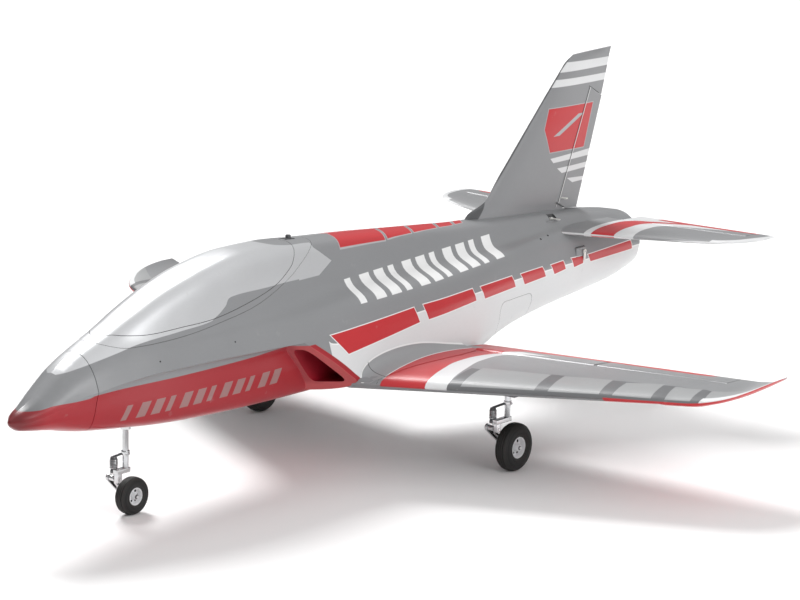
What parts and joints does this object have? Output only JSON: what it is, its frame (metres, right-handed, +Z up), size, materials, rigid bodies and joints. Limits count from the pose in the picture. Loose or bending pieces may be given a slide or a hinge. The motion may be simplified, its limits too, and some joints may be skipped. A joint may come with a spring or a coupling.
{
  "type": "rc jet plane",
  "caption": "Swept-wing ducted-fan sport jet model with side intakes, lift-off canopy hatch, hinged control surfaces and retractable trailing-link landing gear.",
  "frame": {"origin": "centre of the bounding box's base, on the ground plane that the wheels stand on", "axes": "+Z up, nose points along -Y, port (left) side is +X"},
  "size_m": [1.0596, 1.2189, 0.4917],
  "materials": {
    "paint_grey": "satin grey paint over moulded foam",
    "paint_silver": "satin silver paint over moulded foam",
    "paint_red": "satin red paint over moulded foam",
    "dark_plastic": "black moulded plastic",
    "light_plastic": "white moulded plastic",
    "polished_metal": "machined and polished",
    "black_rubber": "ribbed soft rubber",
    "carbon_tube": "woven carbon fibre",
    "blue_wrap": "shrink-wrapped cell pack"
  },
  "bodies": {
    "airframe": {"fuselage": "paint_grey", "nose_cone": "paint_red", "belly_hatch": "paint_silver", "fin": "paint_grey", "wing_left": "paint_grey", "wing_right": "paint_grey", "stab_left": "paint_grey", "stab_right": "paint_grey", "wing_spar": "carbon_tube", "tail_spar": "carbon_tube", "fan_housing": "dark_plastic", "fan_motor": "polished_metal", "exhaust_tube": "dark_plastic", "battery": "blue_wrap", "battery_tray": "light_plastic", "speed_controller": "dark_plastic", "receiver": "dark_plastic", "nose_retract": "dark_plastic", "main_retract_left": "dark_plastic", "main_retract_right": "dark_plastic", "servo_aileron_left": "light_plastic", "servo_aileron_right": "light_plastic", "servo_flap_left": "light_plastic", "servo_flap_right": "light_plastic", "servo_elevator_left": "light_plastic", "servo_elevator_right": "light_plastic", "servo_rudder": "light_plastic"},
    "hatch": {"canopy_hatch": "paint_silver"},
    "latch": {"canopy_latch": "dark_plastic"},
    "rudder": {"rudder": "paint_grey"},
    "fan_rotor": {"fan_rotor": "dark_plastic"},
    "servo_lever_rudder": {"servo_lever_rudder": "light_plastic"},
    "nose_trunnion": {"nose_trunnion": "polished_metal"},
    "nose_leg": {"nose_leg": "polished_metal"},
    "nose_arm": {"nose_arm": "polished_metal"},
    "nose_wheel": {"nose_rim": "light_plastic", "nose_tyre": "black_rubber"},
    "aileron_left": {"aileron_left": "paint_grey"},
    "servo_lever_aileron_left": {"servo_lever_aileron_left": "light_plastic"},
    "flap_left": {"flap_left": "paint_grey"},
    "servo_lever_flap_left": {"servo_lever_flap_left": "light_plastic"},
    "elevator_left": {"elevator_left": "paint_red"},
    "servo_lever_elevator_left": {"servo_lever_elevator_left": "light_plastic"},
    "main_leg_left": {"main_leg_left": "polished_metal"},
    "main_arm_left": {"main_arm_left": "polished_metal"},
    "main_wheel_left": {"main_rim_left": "light_plastic", "main_tyre_left": "black_rubber"},
    "aileron_right": {"aileron_right": "paint_grey"},
    "servo_lever_aileron_right": {"servo_lever_aileron_right": "light_plastic"},
    "flap_right": {"flap_right": "paint_grey"},
    "servo_lever_flap_right": {"servo_lever_flap_right": "light_plastic"},
    "elevator_right": {"elevator_right": "paint_red"},
    "servo_lever_elevator_right": {"servo_lever_elevator_right": "light_plastic"},
    "main_leg_right": {"main_leg_right": "polished_metal"},
    "main_arm_right": {"main_arm_right": "polished_metal"},
    "main_wheel_right": {"main_rim_right": "light_plastic", "main_tyre_right": "black_rubber"}
  },
  "joints": [
    {"name": "hatch_lift", "type": "slide", "parent": "airframe", "child": "hatch", "axis": [0, 0, 1], "range_m": [0, 0.16]},
    {"name": "latch_slide", "type": "slide", "parent": "hatch", "child": "latch", "axis": [0, -1, 0], "range_m": [0, 0.004], "stiffness_N_per_m": 300, "springref_m": -0.004},
    {"name": "rudder_hinge", "type": "hinge", "parent": "airframe", "child": "rudder", "pos_m": [0, 0.447, 0.276], "axis": [0, 0.4106, 0.9118], "range_deg": [-25, 25]},
    {"name": "aileron_left_hinge", "type": "hinge", "parent": "airframe", "child": "aileron_left", "pos_m": [0.28715, 0.14903, 0.13024], "axis": [0.9864, 0.1635, 0.0194], "range_deg": [-20, 20]},
    {"name": "aileron_right_hinge", "type": "hinge", "parent": "airframe", "child": "aileron_right", "pos_m": [-0.28715, 0.14903, 0.13024], "axis": [0.9864, -0.1635, -0.0194], "range_deg": [-20, 20]},
    {"name": "flap_left_hinge", "type": "hinge", "parent": "airframe", "child": "flap_left", "pos_m": [0.11342, 0.12024, 0.12683], "axis": [-0.9864, -0.1635, -0.0194], "range_deg": [0, 40]},
    {"name": "flap_right_hinge", "type": "hinge", "parent": "airframe", "child": "flap_right", "pos_m": [-0.11342, 0.12024, 0.12683], "axis": [-0.9864, 0.1635, 0.0194], "range_deg": [0, 40]},
    {"name": "elevator_left_hinge", "type": "hinge", "parent": "airframe", "child": "elevator_left", "pos_m": [0.056, 0.542, 0.2425], "axis": [0.9923, 0.124, 0.0057], "range_deg": [-20, 20]},
    {"name": "elevator_right_hinge", "type": "hinge", "parent": "airframe", "child": "elevator_right", "pos_m": [-0.056, 0.542, 0.2425], "axis": [0.9923, -0.124, -0.0057], "range_deg": [-20, 20]},
    {"name": "fan_spin", "type": "hinge", "parent": "airframe", "child": "fan_rotor", "pos_m": [0, 0.25, 0.186], "axis": [0, 1, 0], "continuous": true},
    {"name": "servo_aileron_left_turn", "type": "hinge", "parent": "airframe", "child": "servo_lever_aileron_left", "pos_m": [0.3824, 0.124, 0.1268], "axis": [1, 0, 0], "range_deg": [-20, 20]},
    {"name": "servo_flap_left_turn", "type": "hinge", "parent": "airframe", "child": "servo_lever_flap_left", "pos_m": [0.2994, 0.104, 0.124], "axis": [-1, 0, 0], "range_deg": [0, 40]},
    {"name": "servo_elevator_left_turn", "type": "hinge", "parent": "airframe", "child": "servo_lever_elevator_left", "pos_m": [0.0554, 0.446, 0.213], "axis": [1, 0, 0], "range_deg": [-20, 20]},
    {"name": "servo_aileron_right_turn", "type": "hinge", "parent": "airframe", "child": "servo_lever_aileron_right", "pos_m": [-0.3824, 0.124, 0.1268], "axis": [1, 0, 0], "range_deg": [-20, 20]},
    {"name": "servo_flap_right_turn", "type": "hinge", "parent": "airframe", "child": "servo_lever_flap_right", "pos_m": [-0.2994, 0.104, 0.124], "axis": [-1, 0, 0], "range_deg": [0, 40]},
    {"name": "servo_elevator_right_turn", "type": "hinge", "parent": "airframe", "child": "servo_lever_elevator_right", "pos_m": [-0.0554, 0.446, 0.213], "axis": [1, 0, 0], "range_deg": [-20, 20]},
    {"name": "servo_rudder_turn", "type": "hinge", "parent": "airframe", "child": "servo_lever_rudder", "pos_m": [0.02, 0.411, 0.26], "axis": [0, 0, 1], "range_deg": [-25, 25]},
    {"name": "nose_gear_fold", "type": "hinge", "parent": "airframe", "child": "nose_trunnion", "pos_m": [0, -0.4237, 0.128], "axis": [1, 0, 0], "range_deg": [0, 86]},
    {"name": "nose_gear_steer", "type": "hinge", "parent": "nose_trunnion", "child": "nose_leg", "pos_m": [0, -0.4237, 0.128], "axis": [0, 0, 1], "range_deg": [-20, 20]},
    {"name": "nose_gear_spring", "type": "hinge", "parent": "nose_leg", "child": "nose_arm", "pos_m": [0, -0.436, 0.048], "axis": [1, 0, 0], "range_deg": [0, 8], "stiffness_Nm_per_rad": 0.6, "springref_deg": -6.88},
    {"name": "nose_wheel_spin", "type": "hinge", "parent": "nose_arm", "child": "nose_wheel", "pos_m": [0, -0.4126, 0.0232], "axis": [1, 0, 0], "continuous": true},
    {"name": "main_gear_left_fold", "type": "hinge", "parent": "airframe", "child": "main_leg_left", "pos_m": [0.2186, 0.048, 0.113], "axis": [0, 1, 0], "range_deg": [0, 86]},
    {"name": "main_gear_left_spring", "type": "hinge", "parent": "main_leg_left", "child": "main_arm_left", "pos_m": [0.2186, 0.027, 0.062], "axis": [1, 0, 0], "range_deg": [0, 8], "stiffness_Nm_per_rad": 3, "springref_deg": -11.46},
    {"name": "main_wheel_left_spin", "type": "hinge", "parent": "main_arm_left", "child": "main_wheel_left", "pos_m": [0.2186, 0.0644, 0.0315], "axis": [1, 0, 0], "continuous": true},
    {"name": "main_gear_right_fold", "type": "hinge", "parent": "airframe", "child": "main_leg_right", "pos_m": [-0.2186, 0.048, 0.113], "axis": [0, -1, 0], "range_deg": [0, 86]},
    {"name": "main_gear_right_spring", "type": "hinge", "parent": "main_leg_right", "child": "main_arm_right", "pos_m": [-0.2186, 0.027, 0.062], "axis": [1, 0, 0], "range_deg": [0, 8], "stiffness_Nm_per_rad": 3, "springref_deg": -11.46},
    {"name": "main_wheel_right_spin", "type": "hinge", "parent": "main_arm_right", "child": "main_wheel_right", "pos_m": [-0.2186, 0.0644, 0.0315], "axis": [1, 0, 0], "continuous": true}
  ],
  "couplings": [
    {"joint": "aileron_right_hinge", "follows": "aileron_left_hinge", "ratio": -1},
    {"joint": "flap_right_hinge", "follows": "flap_left_hinge", "ratio": 1},
    {"joint": "elevator_right_hinge", "follows": "elevator_left_hinge", "ratio": 1},
    {"joint": "servo_aileron_left_turn", "follows": "aileron_left_hinge", "ratio": 1},
    {"joint": "servo_aileron_right_turn", "follows": "aileron_left_hinge", "ratio": -1},
    {"joint": "servo_flap_left_turn", "follows": "flap_left_hinge", "ratio": 1},
    {"joint": "servo_flap_right_turn", "follows": "flap_left_hinge", "ratio": 1},
    {"joint": "servo_elevator_left_turn", "follows": "elevator_left_hinge", "ratio": 1},
    {"joint": "servo_elevator_right_turn", "follows": "elevator_left_hinge", "ratio": 1},
    {"joint": "servo_rudder_turn", "follows": "rudder_hinge", "ratio": 1},
    {"joint": "nose_gear_steer", "follows": "rudder_hinge", "ratio": -0.8},
    {"joint": "main_gear_right_fold", "follows": "main_gear_left_fold", "ratio": 1},
    {"joint": "nose_gear_fold", "follows": "main_gear_left_fold", "ratio": 1}
  ]
}
